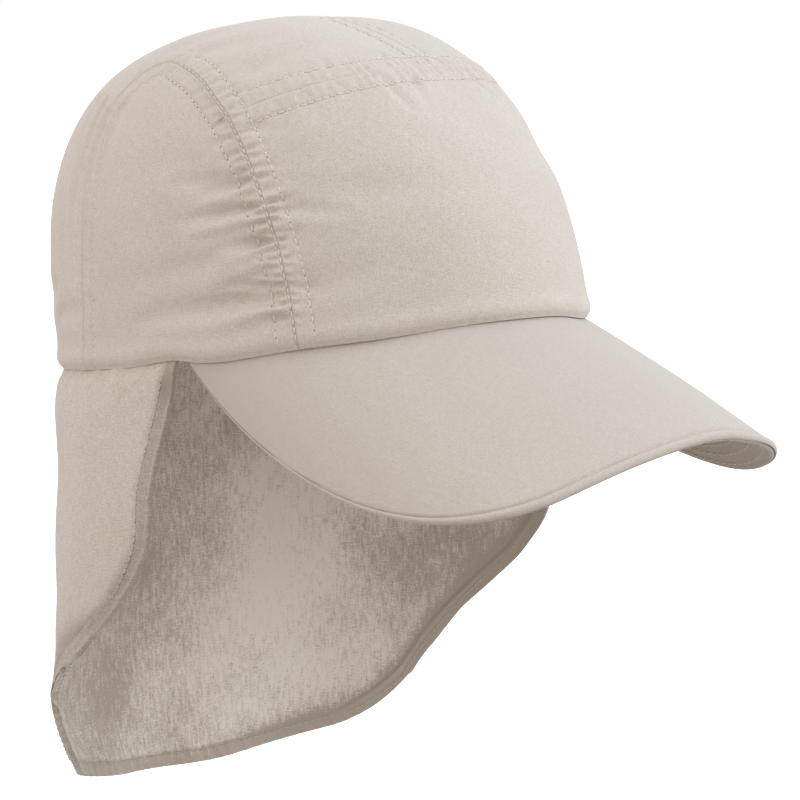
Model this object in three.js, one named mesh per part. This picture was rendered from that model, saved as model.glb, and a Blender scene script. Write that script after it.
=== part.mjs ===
// Legionnaire cap with a curved peak and a neck flap, in the pose in which it is worn.
// Millimetres. Z is up, the front faces -Y, the wearer's left is +X.
// The origin is the centre of the head opening.

import * as THREE from 'three';

// Head opening and crown
const OPENING_HALF_WIDTH = 84;
const OPENING_HALF_LENGTH = 99;
const CROWN_HEIGHT = 113.7;
const FRONT_ROUNDNESS = 2.0;
const SIDE_ROUNDNESS = 3.1;
const BACK_ROUNDNESS = 2.9;
const CROWN_PITCH = 8.7;
const RIM_WAVE_RISE = 0.333;
const DENT_START_RISE = 0.083;

// Cloth and seams
const CROWN_WALL = 1.6;
const PEAK_WALL = 1.5;
const FLAP_WALL = 1.2;
const HEM_WALL = 2.2;
const HEM_WIDTH = 5.2;
const SEAM_GAP = 0.3;
const SEAM_DIP = 0.9;
const SEAM_DIP_WIDTH = 3.5;

// Peak
const PEAK_END_ANGLE = 86.2;
const PEAK_REACH = 73.4;
const PEAK_SIDE_GAIN = 0.856;
const PEAK_CORNER_POWER = 6.65;
const PEAK_FAN = 0.196;
const PEAK_BOW = 1.3;
const PEAK_LIP = 0.6;
const PEAK_ROOT_INSET = 0.96;
const PEAK_TIP_SHARE = 0.9985;

// Neck flap
const FLAP_START_ANGLE = 91.5;
const FLAP_DROP = 154;
const FLAP_SAG = 17;
const FLAP_TOP_WIDTH = 308;
const FLAP_LOWER_WIDTH = 177;
const FLAP_CORNER = 19;
const FLAP_FOLD_DEPTH = 2.6;
const FLAP_FOLD_TURN = 9.5;
const FLAP_FOLD_SHIFT = 0.8;
const FLAP_FOLD_FADE = 0.35;
const HEM_STEP = 1.3;

// Seams are traced on the crown by the angle from the front and the share of a right angle upward.
const SIDE_FRONT_SEAM = [
  { angle: 61.4, rise: 0 },
  { angle: 62.1, rise: 0.12 },
  { angle: 63.8, rise: 0.223 },
  { angle: 67.4, rise: 0.34 },
  { angle: 72, rise: 0.43 },
];
const SIDE_TOP_SEAM = [
  { angle: 72, rise: 0.43 },
  { angle: 81, rise: 0.52 },
  { angle: 94, rise: 0.578 },
  { angle: 104, rise: 0.552 },
  { angle: 111, rise: 0.485 },
];
const SIDE_BACK_SEAM = [
  { angle: 117, rise: 0 },
  { angle: 114, rise: 0.13 },
  { angle: 112.5, rise: 0.27 },
  { angle: 112, rise: 0.39 },
  { angle: 111, rise: 0.485 },
];
const TOP_FRONT_SEAM = [
  { angle: 72, rise: 0.43 },
  { angle: 54, rise: 0.477 },
  { angle: 36, rise: 0.521 },
  { angle: 18, rise: 0.556 },
  { angle: 0, rise: 0.57 },
];

// Lift of the opening's edge above a level line, by the angle from the front.
const RIM_WAVES = [
  { angle: -180, lift: 1.6 },
  { angle: -136, lift: 1.6 },
  { angle: -116, lift: 0.8 },
  { angle: -101, lift: 0.3 },
  { angle: -89, lift: 1.1 },
  { angle: -83, lift: -0.5 },
  { angle: -77, lift: -1.1 },
  { angle: -61, lift: 0.1 },
  { angle: -45, lift: 0.2 },
  { angle: -24, lift: 1.1 },
  { angle: -6, lift: 0.6 },
  { angle: 5, lift: -0.3 },
  { angle: 18, lift: -2.2 },
  { angle: 37, lift: -2.5 },
  { angle: 60, lift: -1 },
  { angle: 90, lift: 0 },
  { angle: 120, lift: 0.5 },
  { angle: 180, lift: 1.6 },
];

// Drop of the peak below level in degrees, by the square of the share from its middle to its end.
const PEAK_DROPS = [
  { side: -1, drop: 55.1 },
  { side: -0.9, drop: 44.4 },
  { side: -0.75, drop: 38.5 },
  { side: -0.5, drop: 37.5 },
  { side: -0.25, drop: 38.3 },
  { side: 0, drop: 37.4 },
  { side: 0.25, drop: 36.6 },
  { side: 0.5, drop: 37.5 },
  { side: 0.75, drop: 41 },
  { side: 0.9, drop: 43.3 },
  { side: 1, drop: 45.6 },
];

// Folds and dents of the crown, by angle, rise, half widths across and up, and depth in millimetres.
const CROWN_FOLDS = [
  { angle: -74, rise: 0.11, across: 17, up: 0.028, depth: 1.6 },
  { angle: -72, rise: 0.3, across: 11, up: 0.03, depth: 1.1 },
  { angle: -66, rise: 0.2, across: 6, up: 0.02, depth: 1.2 },
  { angle: -40, rise: 0.27, across: 20, up: 0.035, depth: 0.9 },
  { angle: 40, rise: 0.33, across: 22, up: 0.05, depth: 1.3 },
  { angle: 72, rise: 0.16, across: 16, up: 0.03, depth: 1.4 },
  { angle: 68, rise: 0.28, across: 10, up: 0.025, depth: 1.0 },
  { angle: 180, rise: 0.07, across: 24, up: 0.03, depth: 1.5 },
];

// Flap sections from the opening to the lower edge. Ends are angles from the back, flares are shares
// of the opening's half sizes, and level is the share of the drop.
const FLAP_SECTIONS = [
  { level: 0, nearEnd: 91.5, farEnd: 91.5, near: 1, back: 1, far: 1 },
  { level: 0.1, nearEnd: 89.3, farEnd: 95, near: 1.01, back: 1.035, far: 1.04 },
  { level: 0.28, nearEnd: 85.7, farEnd: 102, near: 1.05, back: 1.015, far: 1.16 },
  { level: 0.42, nearEnd: 83.6, farEnd: 104.8, near: 1.05, back: 1.02, far: 1.25 },
  { level: 0.56, nearEnd: 74, farEnd: 98.2, near: 1.035, back: 1.02, far: 1.27 },
  { level: 0.66, nearEnd: 61.6, farEnd: 90.5, near: 1.02, back: 1.025, far: 1.25 },
  { level: 0.74, nearEnd: 49.6, farEnd: 84.7, near: 1.04, back: 1.02, far: 1.22 },
  { level: 0.82, nearEnd: 43, farEnd: 79.5, near: 1.065, back: 1.005, far: 1.2 },
  { level: 0.9, nearEnd: 42.5, farEnd: 75.7, near: 1.03, back: 0.985, far: 1.17 },
  { level: 0.96, nearEnd: 43, farEnd: 73, near: 0.985, back: 0.96, far: 1.15 },
  { level: 1, nearEnd: 42, farEnd: 70.6, near: 0.95, back: 0.95, far: 1.17 },
];

const degrees = THREE.MathUtils.degToRad;

// Smooth curve through the rows of a table, read by one column
function readTable(rows, key, value, column) {
  const rising = rows[rows.length - 1][key] > rows[0][key] ? 1 : -1;
  let index = 0;
  while (index < rows.length - 2 && (value - rows[index + 1][key]) * rising > 0) index += 1;
  const slope = (i) => {
    const a = rows[Math.max(i - 1, 0)];
    const b = rows[Math.min(i + 1, rows.length - 1)];
    return (b[column] - a[column]) / (b[key] - a[key]);
  };
  const from = rows[index];
  const to = rows[index + 1];
  const span = to[key] - from[key];
  const t = THREE.MathUtils.clamp((value - from[key]) / span, 0, 1);
  const h = t * t * (3 - 2 * t);
  const enter = span * slope(index) * t * (1 - t) * (1 - t);
  const leave = span * slope(index + 1) * t * t * (1 - t);
  return from[column] * (1 - h) + to[column] * h + enter - leave;
}

// Point along a seam, by an even share of its rows
function alongSeam(seam, share) {
  const rows = seam.map((row, i) => ({ ...row, share: i / (seam.length - 1) }));
  return new THREE.Vector2(
    readTable(rows, 'share', share, 'angle'),
    readTable(rows, 'share', share, 'rise'),
  );
}

// Turns a point of the level crown into the worn pose
function worn(point) {
  return point.applyAxisAngle(new THREE.Vector3(1, 0, 0), -degrees(CROWN_PITCH));
}

function crownRoundness(turn) {
  const ahead = Math.cos(turn);
  const across = Math.sin(turn);
  const end = ahead > 0 ? FRONT_ROUNDNESS : BACK_ROUNDNESS;
  return end * ahead * ahead + SIDE_ROUNDNESS * across * across;
}

function foldDepth(angle, rise) {
  let depth = 0;
  for (const fold of CROWN_FOLDS) {
    const turned = THREE.MathUtils.euclideanModulo(angle - fold.angle + 180, 360) - 180;
    const across = turned / fold.across;
    const up = (rise - fold.rise) / fold.up;
    depth += fold.depth * Math.exp(-across * across - up * up);
  }
  return depth;
}

// Crown surface before the pitch. A positive angle lies on the wearer's left.
function crownPoint(angle, rise, inset) {
  const turn = degrees(angle);
  const climb = degrees(90 * rise);
  const power = crownRoundness(turn);
  const level = Math.max(Math.cos(climb), 0);
  const height = Math.sin(climb);
  const reach = Math.pow(Math.pow(level, power) + Math.pow(height, power), -1 / power);
  const depth = inset + foldDepth(angle, rise) * Math.min(1, rise / DENT_START_RISE);
  const ahead = THREE.MathUtils.euclideanModulo(angle + 180, 360) - 180;
  const wave = readTable(RIM_WAVES, 'angle', ahead, 'lift') * Math.max(0, 1 - rise / RIM_WAVE_RISE);
  return new THREE.Vector3(
    (OPENING_HALF_WIDTH - depth) * Math.sin(turn) * level * reach,
    -(OPENING_HALF_LENGTH - depth) * Math.cos(turn) * level * reach,
    (CROWN_HEIGHT - depth) * height * reach + wave,
  );
}

// Closed sheet body between an outer and an inner surface, both read by two shares from 0 to 1
function sheetBody(across, along, outer, inner) {
  const positions = [];
  const indices = [];
  const row = across.length;
  for (const surface of [outer, inner]) {
    for (const v of along) {
      for (const u of across) positions.push(...surface(u, v).toArray());
    }
  }
  const layer = row * along.length;
  const quad = (a, b, c, d) => indices.push(a, b, c, a, c, d);
  for (let j = 0; j < along.length - 1; j += 1) {
    for (let i = 0; i < row - 1; i += 1) {
      const a = j * row + i;
      quad(a, a + 1, a + row + 1, a + row);
      quad(layer + a + row, layer + a + row + 1, layer + a + 1, layer + a);
    }
  }
  const border = [];
  for (let i = 0; i < row - 1; i += 1) border.push(i);
  for (let j = 0; j < along.length - 1; j += 1) border.push(j * row + row - 1);
  for (let i = row - 1; i > 0; i -= 1) border.push((along.length - 1) * row + i);
  for (let j = along.length - 1; j > 0; j -= 1) border.push(j * row);
  border.forEach((a, i) => {
    const b = border[(i + 1) % border.length];
    quad(b, a, layer + a, layer + b);
  });
  const geometry = new THREE.BufferGeometry();
  geometry.setAttribute('position', new THREE.Float32BufferAttribute(positions, 3));
  geometry.setIndex(indices);
  geometry.computeVertexNormals();
  return geometry;
}

function evenShares(count, inset) {
  return Array.from({ length: count + 1 }, (_, i) => inset + (1 - 2 * inset) * (i / count));
}

function clothMaterial(color) {
  return new THREE.MeshStandardMaterial({ color, roughness: 0.92, metalness: 0 });
}

function named(name, geometry, material) {
  const mesh = new THREE.Mesh(geometry, material);
  mesh.name = name;
  return mesh;
}

// Patch between four seams, each a function of a share that gives a point on the seam chart
function seamPatch(low, high, start, end) {
  return (u, v) => {
    const point = new THREE.Vector2();
    point.addScaledVector(low(u), 1 - v).addScaledVector(high(u), v);
    point.addScaledVector(start(v), 1 - u).addScaledVector(end(v), u);
    point.addScaledVector(low(0), -(1 - u) * (1 - v)).addScaledVector(low(1), -u * (1 - v));
    point.addScaledVector(high(0), -(1 - u) * v).addScaledVector(high(1), -u * v);
    return point;
  };
}

// Chart of the crown seen from above: the opening is the unit circle and the top is its centre
function chartPoint(seamPoint, side) {
  const turn = degrees(seamPoint.x) * side;
  const radius = 1 - seamPoint.y;
  return new THREE.Vector2(radius * Math.sin(turn), -radius * Math.cos(turn));
}

function crownPanel(name, patch, acrossCount, alongCount, color) {
  const across = evenShares(acrossCount, 0);
  const along = evenShares(alongCount, 0);
  const size = crownPanelSize(patch);
  const surface = (inset) => (u, v) => {
    const cutU = SEAM_GAP / 2 / size.x;
    const cutV = SEAM_GAP / 2 / size.y;
    const cu = cutU + u * (1 - 2 * cutU);
    const cv = cutV + v * (1 - 2 * cutV);
    const chart = patch(cu, cv);
    const edge = Math.min(Math.min(u, 1 - u) * size.x, (1 - v) * size.y);
    const dip = SEAM_DIP * Math.exp(-Math.pow(edge / SEAM_DIP_WIDTH, 2));
    const angle = THREE.MathUtils.radToDeg(Math.atan2(chart.x, -chart.y));
    return worn(crownPoint(angle, 1 - Math.min(chart.length(), 1), inset + dip));
  };
  return named(name, sheetBody(across, along, surface(0), surface(CROWN_WALL)), clothMaterial(color));
}

// Width and height of a panel along its middle lines
function crownPanelSize(patch) {
  const steps = 16;
  const size = new THREE.Vector2();
  const place = (u, v) => {
    const chart = patch(u, v);
    const angle = THREE.MathUtils.radToDeg(Math.atan2(chart.x, -chart.y));
    return crownPoint(angle, 1 - Math.min(chart.length(), 1), 0);
  };
  for (let i = 0; i < steps; i += 1) {
    size.x += place(i / steps, 0.5).distanceTo(place((i + 1) / steps, 0.5));
    size.y += place(0.5, i / steps).distanceTo(place(0.5, (i + 1) / steps));
  }
  return size;
}

function openingArc(fromAngle, toAngle) {
  return (share) => chartPoint(new THREE.Vector2(fromAngle + (toAngle - fromAngle) * share, 0), 1);
}

function frontPanel() {
  const low = openingArc(-SIDE_FRONT_SEAM[0].angle, SIDE_FRONT_SEAM[0].angle);
  const high = (share) => {
    const side = share < 0.5 ? -1 : 1;
    return chartPoint(alongSeam(TOP_FRONT_SEAM, 1 - Math.abs(2 * share - 1)), side);
  };
  const start = (share) => chartPoint(alongSeam(SIDE_FRONT_SEAM, share), -1);
  const end = (share) => chartPoint(alongSeam(SIDE_FRONT_SEAM, share), 1);
  return crownPanel('crown_front_panel', seamPatch(low, high, start, end), 24, 12, 0xd2c8bd);
}

function sidePanel(name, side) {
  const front = (share) => chartPoint(alongSeam(SIDE_FRONT_SEAM, share), side);
  const back = (share) => chartPoint(alongSeam(SIDE_BACK_SEAM, share), side);
  const topShare = (share) => (side > 0 ? share : 1 - share);
  const high = (share) => chartPoint(alongSeam(SIDE_TOP_SEAM, topShare(share)), side);
  const lowFrom = side > 0 ? SIDE_FRONT_SEAM[0].angle : -SIDE_BACK_SEAM[0].angle;
  const lowTo = side > 0 ? SIDE_BACK_SEAM[0].angle : -SIDE_FRONT_SEAM[0].angle;
  const start = side > 0 ? front : back;
  const end = side > 0 ? back : front;
  return crownPanel(name, seamPatch(openingArc(lowFrom, lowTo), high, start, end), 18, 11, 0xc4b6aa);
}

// Half of the strip that runs from the front panel over the top and down to the back of the opening
function topPanel(name, side) {
  const outer = (share) => {
    if (share < 0.5) return chartPoint(alongSeam(SIDE_TOP_SEAM, share * 2), side);
    return chartPoint(alongSeam(SIDE_BACK_SEAM, 2 - share * 2), side);
  };
  const centre = (share) => {
    const seamMiddle = TOP_FRONT_SEAM[TOP_FRONT_SEAM.length - 1];
    const front = chartPoint(new THREE.Vector2(seamMiddle.angle, seamMiddle.rise), 1);
    return new THREE.Vector2(0, front.y + (1 - front.y) * share);
  };
  const seamFront = (share) => chartPoint(alongSeam(TOP_FRONT_SEAM, share), side);
  const openingBack = (share) => {
    const angle = SIDE_BACK_SEAM[0].angle + (180 - SIDE_BACK_SEAM[0].angle) * share;
    return chartPoint(new THREE.Vector2(angle, 0), side);
  };
  const flip = (curve) => (share) => curve(side > 0 ? share : 1 - share);
  const start = (v) => (side > 0 ? outer(1 - v) : centre(1 - v));
  const end = (v) => (side > 0 ? centre(1 - v) : outer(1 - v));
  const patch = seamPatch(flip(openingBack), flip(seamFront), start, end);
  return crownPanel(name, patch, 12, 26, 0xccc0b5);
}

// Peak surface before the pitch, by a share from the right end to the left end and a share outward
function peakPoint(side, outward) {
  const angle = degrees(PEAK_END_ANGLE * side);
  const even = side * side;
  const drop = degrees(readTable(PEAK_DROPS, 'side', side, 'drop'));
  const fan = PEAK_FAN * angle;
  const reach = PEAK_REACH * (1 + PEAK_SIDE_GAIN * even) * (1 - Math.abs(side) ** PEAK_CORNER_POWER);
  const root = crownPoint(PEAK_END_ANGLE * side, 0, PEAK_ROOT_INSET);
  const level = Math.cos(drop);
  const heading = new THREE.Vector3(Math.sin(fan) * level, -Math.cos(fan) * level, -Math.sin(drop));
  root.z += PEAK_BOW * 4 * outward * (1 - outward) * (1 - even) - SEAM_GAP;
  return root.addScaledVector(heading, reach * outward);
}

function peakLayer(depth, lip) {
  return (u, v) => {
    const side = PEAK_TIP_SHARE * Math.sin((u - 0.5) * Math.PI);
    const step = 0.001;
    const here = peakPoint(side, v);
    const inner = side > 0 ? side - step : side + step;
    const alongEdge = peakPoint(inner, v).sub(here).multiplyScalar(side > 0 ? -1 : 1);
    const outward = peakPoint(side, v + step).sub(here);
    const up = outward.clone().cross(alongEdge).normalize();
    const point = here.addScaledVector(up, -depth);
    point.addScaledVector(outward.normalize(), -lip * v);
    return worn(point);
  };
}

function peakCover(name, depth, lip, color) {
  const across = evenShares(32, 0);
  const along = evenShares(8, 0);
  const flipped = (surface) => (u, v) => surface(1 - u, v);
  const geometry = sheetBody(
    across,
    along,
    flipped(peakLayer(depth, lip)),
    flipped(peakLayer(depth + PEAK_WALL, lip)),
  );
  return named(name, geometry, clothMaterial(color));
}

// Flap surface in the worn pose, by a share from the right end to the left end and a share downward
function flapPoint(u, v, inset) {
  const spread = 2 * u - 1;
  const openingAngle = 180 - FLAP_START_ANGLE * spread;
  const top = worn(crownPoint(openingAngle, 0, 0));
  const lowest = -FLAP_DROP - FLAP_SAG * (1 - spread * spread);
  const edge = Math.min(u, 1 - u) * FLAP_LOWER_WIDTH;
  const missing = Math.max(FLAP_CORNER - edge, 0);
  const rounded = lowest + FLAP_CORNER - Math.sqrt(FLAP_CORNER ** 2 - missing ** 2);
  const level = v * (top.z - rounded) / (top.z - lowest);
  const nearFlare = readTable(FLAP_SECTIONS, 'level', level, 'near');
  const farFlare = readTable(FLAP_SECTIONS, 'level', level, 'far');
  const backFlare = readTable(FLAP_SECTIONS, 'level', level, 'back');
  const endFlare = spread < 0 ? nearFlare : farFlare;
  const share = backFlare + (endFlare - backFlare) * spread * spread;
  const nearEnd = readTable(FLAP_SECTIONS, 'level', level, 'nearEnd');
  const farEnd = readTable(FLAP_SECTIONS, 'level', level, 'farEnd');
  const middle = (farEnd - nearEnd) / 2;
  const turn = degrees(middle + spread * (nearEnd + farEnd) / 2);
  const wave = Math.cos(spread * FLAP_FOLD_TURN + FLAP_FOLD_SHIFT);
  const fold = FLAP_FOLD_DEPTH * level * wave * (1 - level * FLAP_FOLD_FADE);
  const depth = inset - fold;
  return new THREE.Vector3(
    (OPENING_HALF_WIDTH * share - depth) * Math.sin(turn),
    (OPENING_HALF_LENGTH * share * Math.cos(degrees(CROWN_PITCH)) - depth) * Math.cos(turn),
    top.z + (lowest - top.z) * level - SEAM_GAP,
  );
}

function neckFlap() {
  const hemAcross = HEM_WIDTH / FLAP_TOP_WIDTH;
  const hemDown = HEM_WIDTH / (FLAP_DROP + FLAP_SAG);
  const across = [0, hemAcross, ...evenShares(34, hemAcross * HEM_STEP), 1 - hemAcross, 1];
  const along = [...evenShares(19, 0).map((v) => v * (1 - hemDown * HEM_STEP)), 1 - hemDown, 1];
  const wall = (u, v) => {
    const folded = Math.min(u, 1 - u) <= hemAcross || v >= 1 - hemDown;
    return folded ? HEM_WALL : FLAP_WALL;
  };
  const geometry = sheetBody(
    across,
    along,
    (u, v) => flapPoint(u, v, 0),
    (u, v) => flapPoint(u, v, wall(u, v)),
  );
  return named('neck_flap', geometry, clothMaterial(0xc2b6aa));
}

const cap = new THREE.Group();
cap.name = 'legionnaire_cap';
cap.add(frontPanel());
cap.add(sidePanel('crown_side_panel_left', 1));
cap.add(sidePanel('crown_side_panel_right', -1));
cap.add(topPanel('crown_top_panel_left', 1));
cap.add(topPanel('crown_top_panel_right', -1));
cap.add(peakCover('peak_top_cover', 0, 0, 0xcfc5bb));
cap.add(peakCover('peak_under_cover', PEAK_WALL + SEAM_GAP, PEAK_LIP, 0xb9aca0));
cap.add(neckFlap());

export default cap;
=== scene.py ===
# Legionnaire cap in stone coloured cotton, dressed as it looks when it is worn.
# Sizes are in millimetres until a mesh is made, then in metres.

import math

import bpy
import numpy as np
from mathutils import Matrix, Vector


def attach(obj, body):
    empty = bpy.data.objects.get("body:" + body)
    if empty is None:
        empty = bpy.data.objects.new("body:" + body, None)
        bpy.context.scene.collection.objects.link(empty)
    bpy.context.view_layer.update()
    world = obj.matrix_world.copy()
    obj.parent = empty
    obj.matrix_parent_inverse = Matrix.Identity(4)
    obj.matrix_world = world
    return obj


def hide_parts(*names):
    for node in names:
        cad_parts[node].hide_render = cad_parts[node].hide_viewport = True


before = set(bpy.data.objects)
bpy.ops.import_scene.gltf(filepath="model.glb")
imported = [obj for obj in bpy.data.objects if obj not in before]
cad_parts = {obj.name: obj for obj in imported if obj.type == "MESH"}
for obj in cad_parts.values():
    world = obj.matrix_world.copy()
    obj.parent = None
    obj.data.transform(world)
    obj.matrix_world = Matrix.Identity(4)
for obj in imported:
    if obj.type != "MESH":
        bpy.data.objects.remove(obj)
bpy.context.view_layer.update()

# Studio
# A long lens looks at the wearer's right side from just above the edge of the crown.
# Eight soft lights stand round it, each fitted to the photograph, and the pale room fills in.
light_softness = 38.0
camera_turn = math.radians(-52.55)
camera_height = math.radians(6.445)
camera_distance = 1.1
sight_right = 0.02507
sight_down = 0.01885

toward_camera = Vector(
    (
        math.sin(camera_turn) * math.cos(camera_height),
        -math.cos(camera_turn) * math.cos(camera_height),
        math.sin(camera_height),
    )
)
camera_right = Vector((math.cos(camera_turn), math.sin(camera_turn), 0.0))
camera_up = toward_camera.cross(camera_right)
sight = -toward_camera + camera_right * sight_right - camera_up * sight_down

camera = bpy.data.objects.new("camera", bpy.data.cameras.new("camera"))
camera.data.sensor_width = 36.0
camera.data.lens = 140.1
camera.data.clip_end = 60.0
camera.location = toward_camera * camera_distance
camera.rotation_euler = sight.to_track_quat("-Z", "Y").to_euler()
bpy.context.collection.objects.link(camera)
bpy.context.scene.camera = camera
bpy.context.scene.view_settings.view_transform = "Standard"


def soft_sun(name, toward_light, strength, colour):
    lamp = bpy.data.lights.new(name, "SUN")
    lamp.energy = strength
    lamp.angle = math.radians(light_softness)
    lamp.color = colour
    light = bpy.data.objects.new(name, lamp)
    light.rotation_euler = Vector(toward_light).to_track_quat("Z", "Y").to_euler()
    bpy.context.collection.objects.link(light)


soft_sun("right_light", (0.85, -0.5, 0.25), 0.56, (0.86, 1.0, 1.11))
soft_sun("front_light", (0.45, -0.75, 0.5), 0.54, (0.85, 1.0, 1.12))
soft_sun("face_light", (0.1, -0.9, 0.42), 0.19, (0.9, 1.0, 1.15))
soft_sun("high_light", (0.1, -0.2, 0.97), 0.38, (0.85, 1.0, 1.15))
soft_sun("near_light", (-0.5, -0.42, 0.74), 0.07, (1.07, 1.0, 1.03))
soft_sun("low_side_light", (-0.75, -0.62, -0.1), 0.1, (1.08, 1.0, 0.96))
soft_sun("back_light", (-0.6, 0.78, 0.2), 0.5, (1.14, 1.0, 0.87))
soft_sun("far_light", (0.85, 0.45, 0.15), 0.15, (0.97, 1.0, 1.02))

room = bpy.data.worlds.new("pale_room")
room.use_nodes = True
room_nodes = room.node_tree.nodes
room_place = room_nodes.new("ShaderNodeTexCoord")
room_split = room_nodes.new("ShaderNodeSeparateXYZ")
room_height = room_nodes.new("ShaderNodeMapRange")
room_height.inputs["From Min"].default_value = -1.0
room_shades = room_nodes.new("ShaderNodeValToRGB")
room_shades.color_ramp.elements[0].color = (0.27, 0.27, 0.26, 1.0)
room_shades.color_ramp.elements[1].color = (0.855, 0.9, 0.96, 1.0)
room_middle = room_shades.color_ramp.elements.new(0.5)
room_middle.color = (0.87, 0.828, 0.8, 1.0)
room_path = room_nodes.new("ShaderNodeLightPath")
room_mix = room_nodes.new("ShaderNodeMix")
room_mix.data_type = "RGBA"
room_mix.inputs["B"].default_value = (1.0, 1.0, 1.0, 1.0)
room_links = room.node_tree.links
room_links.new(room_place.outputs["Generated"], room_split.inputs["Vector"])
room_links.new(room_split.outputs["Z"], room_height.inputs["Value"])
room_links.new(room_height.outputs["Result"], room_shades.inputs["Fac"])
room_links.new(room_shades.outputs["Color"], room_mix.inputs["A"])
room_links.new(room_path.outputs["Is Camera Ray"], room_mix.inputs["Factor"])
room_links.new(room_mix.outputs["Result"], room_nodes["Background"].inputs["Color"])
bpy.context.scene.world = room

bpy.ops.mesh.primitive_plane_add(size=60.0, location=(0.0, 0.0, -0.5))
floor = bpy.context.object
floor.name = "floor"
floor.visible_diffuse = False
floor_paint = bpy.data.materials.new("floor_paint")
floor_paint.use_nodes = True
floor_shader = floor_paint.node_tree.nodes["Principled BSDF"]
floor_shader.inputs["Base Color"].default_value = (0.95, 0.95, 0.95, 1.0)
floor_shader.inputs["Roughness"].default_value = 1.0
floor_shader.inputs["Emission Color"].default_value = (1.0, 1.0, 1.0, 1.0)
floor_shader.inputs["Emission Strength"].default_value = 0.35
floor.data.materials.append(floor_paint)

# Crown
# Five panels of thin cotton: a plain front, a D shaped panel on each side, and a strip over
# the top and down the back that is joined along the middle. Plain seams, pressed open.
opening_half_width = 84.0
opening_half_length = 99.0
crown_height = 113.7
front_roundness = 2.0
side_roundness = 3.1
back_roundness = 2.9
crown_pitch = 8.7
rim_wave_rise = 0.333
dent_start_rise = 0.083
crown_wall = 1.4
seam_cut = 0.02


def table(columns, *rows):
    """Rows of numbers under named columns."""
    return [dict(zip(columns.split(), row)) for row in rows]


side_front_seam = table(
    "angle rise",
    (61.4, 0.0),
    (62.1, 0.12),
    (63.8, 0.223),
    (67.4, 0.34),
    (72.0, 0.43),
)
side_top_seam = table(
    "angle rise",
    (72.0, 0.43),
    (81.0, 0.52),
    (94.0, 0.578),
    (104.0, 0.552),
    (111.0, 0.485),
)
side_back_seam = table(
    "angle rise",
    (117.0, 0.0),
    (114.0, 0.13),
    (112.5, 0.27),
    (112.0, 0.39),
    (111.0, 0.485),
)
top_front_seam = table(
    "angle rise",
    (72.0, 0.43),
    (54.0, 0.477),
    (36.0, 0.521),
    (18.0, 0.556),
    (0.0, 0.57),
)
rim_waves = table(
    "angle lift",
    (-180.0, 1.6),
    (-136.0, 1.6),
    (-116.0, 0.8),
    (-101.0, 0.3),
    (-89.0, 1.1),
    (-83.0, -0.5),
    (-77.0, -1.1),
    (-61.0, 0.1),
    (-45.0, 0.2),
    (-24.0, 1.1),
    (-6.0, 0.6),
    (5.0, -0.3),
    (18.0, -2.2),
    (37.0, -2.5),
    (60.0, -1.0),
    (90.0, 0.0),
    (120.0, 0.5),
    (180.0, 1.6),
)
broad_dents = table(
    "angle rise across up depth",
    (-74.0, 0.11, 17.0, 0.028, 1.6),
    (-72.0, 0.3, 11.0, 0.03, 1.1),
    (-66.0, 0.2, 6.0, 0.02, 1.2),
    (-40.0, 0.27, 20.0, 0.035, 0.9),
    (40.0, 0.33, 22.0, 0.05, 1.3),
    (72.0, 0.16, 16.0, 0.03, 1.4),
    (68.0, 0.28, 10.0, 0.025, 1.0),
    (180.0, 0.07, 24.0, 0.03, 1.5),
)


def smooth_column(rows, key, column):
    """A smooth curve through one column of a table, as a function of its key."""
    keys = np.array([row[key] for row in rows])
    values = np.array([row[column] for row in rows])
    before = np.maximum(np.arange(len(rows)) - 1, 0)
    after = np.minimum(np.arange(len(rows)) + 1, len(rows) - 1)
    slopes = (values[after] - values[before]) / (keys[after] - keys[before])

    def read(at):
        at = np.asarray(at, float)
        index = np.clip(np.searchsorted(keys, at, side="right") - 1, 0, len(rows) - 2)
        span = keys[index + 1] - keys[index]
        t = np.clip((at - keys[index]) / span, 0.0, 1.0)
        blend = t * t * (3.0 - 2.0 * t)
        enter = span * slopes[index] * t * (1.0 - t) ** 2
        leave = span * slopes[index + 1] * t * t * (1.0 - t)
        return values[index] * (1.0 - blend) + values[index + 1] * blend + enter - leave

    return read


def wrapped(angle):
    return (angle + 180.0) % 360.0 - 180.0


rim_lift = smooth_column(rim_waves, "angle", "lift")


def crown_form(angle, rise):
    """Outside of the crown before it is tipped, by angle from the front and share of height."""
    angle, rise = np.broadcast_arrays(np.asarray(angle, float), np.asarray(rise, float))
    turn = np.radians(angle)
    climb = np.radians(90.0 * rise)
    ahead = np.cos(turn)
    across = np.sin(turn)
    end = np.where(ahead > 0.0, front_roundness, back_roundness)
    power = end * ahead**2 + side_roundness * across**2
    level = np.maximum(np.cos(climb), 0.0)
    height = np.maximum(np.sin(climb), 0.0)
    reach = (level**power + height**power) ** (-1.0 / power)
    dent = np.zeros_like(reach)
    for row in broad_dents:
        sideways = wrapped(angle - row["angle"]) / row["across"]
        upward = (rise - row["rise"]) / row["up"]
        dent += row["depth"] * np.exp(-(sideways**2) - upward**2)
    dent *= np.minimum(1.0, rise / dent_start_rise)
    wave = rim_lift(wrapped(angle)) * np.maximum(0.0, 1.0 - rise / rim_wave_rise)
    return np.stack(
        [
            (opening_half_width - dent) * across * level * reach,
            -(opening_half_length - dent) * ahead * level * reach,
            (crown_height - dent) * height * reach + wave,
        ],
        -1,
    )


def chart(angle, rise):
    """The crown laid out flat as seen from above: the opening is a circle round the top."""
    turn = np.radians(angle)
    return np.stack([(1.0 - rise) * np.sin(turn), -(1.0 - rise) * np.cos(turn)], -1)


def form_on_chart(place):
    angle = np.degrees(np.arctan2(place[..., 0], -place[..., 1]))
    rise = 1.0 - np.minimum(np.hypot(place[..., 0], place[..., 1]), 1.0)
    return crown_form(angle, rise)


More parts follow.
